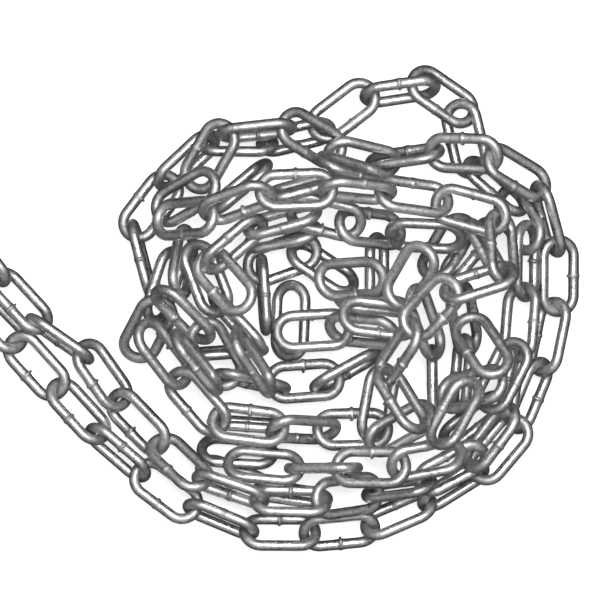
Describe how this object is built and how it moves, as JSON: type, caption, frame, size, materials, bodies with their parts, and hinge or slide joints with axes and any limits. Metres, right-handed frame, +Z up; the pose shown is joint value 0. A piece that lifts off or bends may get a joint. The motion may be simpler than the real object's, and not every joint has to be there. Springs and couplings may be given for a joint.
{
  "type": "chain heap",
  "caption": "Loose heap of galvanised, welded long-link steel chain, coiled on the floor with its free tails running off to one side.",
  "frame": {"origin": "on the floor, under the middle of the heap's bounding box, tails included", "axes": "+X along the heap's longest extent, away from the free tails; +Y towards the small loop at the heap's far side; +Z up"},
  "size_m": [0.4094, 0.2736, 0.0873],
  "materials": {
    "galvanised_steel": "zinc-coated, satin, a little mottled"
  },
  "bodies": {
    "root": {"lower_free_end": "galvanised_steel", "outer_turn_1": "galvanised_steel", "outer_turn_2": "galvanised_steel", "outer_turn_3": "galvanised_steel", "outer_turn_4": "galvanised_steel", "outer_turn_5": "galvanised_steel", "outer_turn_6": "galvanised_steel", "left_eye": "galvanised_steel", "left_fold_1": "galvanised_steel", "left_fold_2": "galvanised_steel", "middle_fold": "galvanised_steel", "upper_free_end": "galvanised_steel", "inner_turn_1": "galvanised_steel", "inner_turn_2": "galvanised_steel", "inner_turn_3": "galvanised_steel", "inner_turn_4": "galvanised_steel", "inner_turn_5": "galvanised_steel", "inner_turn_6": "galvanised_steel", "left_loop": "galvanised_steel", "cross": "galvanised_steel", "cross_end": "galvanised_steel", "slot": "galvanised_steel", "heart": "galvanised_steel", "core": "galvanised_steel", "knot": "galvanised_steel", "under_knot": "galvanised_steel", "lower_arc": "galvanised_steel", "under_arc": "galvanised_steel", "lower_slant": "galvanised_steel", "fold_bar": "galvanised_steel", "diamond": "galvanised_steel", "right_side": "galvanised_steel", "right_fork": "galvanised_steel", "right_foot": "galvanised_steel", "foot_loop": "galvanised_steel", "foot_low": "galvanised_steel", "fork_bar": "galvanised_steel", "post": "galvanised_steel", "middle_left": "galvanised_steel", "left_post": "galvanised_steel", "left_slant": "galvanised_steel", "fold_slant": "galvanised_steel", "ring_top": "galvanised_steel", "small_ring_1": "galvanised_steel", "small_ring_2": "galvanised_steel", "under_ring": "galvanised_steel", "ring_end": "galvanised_steel", "bridge": "galvanised_steel", "bridge_foot": "galvanised_steel", "right_cross": "galvanised_steel", "right_bar": "galvanised_steel", "left_bridge": "galvanised_steel", "upper_left": "galvanised_steel", "upper_middle": "galvanised_steel", "upper_right": "galvanised_steel", "top_arc_1": "galvanised_steel", "top_arc_2": "galvanised_steel", "top_arc_3": "galvanised_steel"}
  },
  "joints": []
}
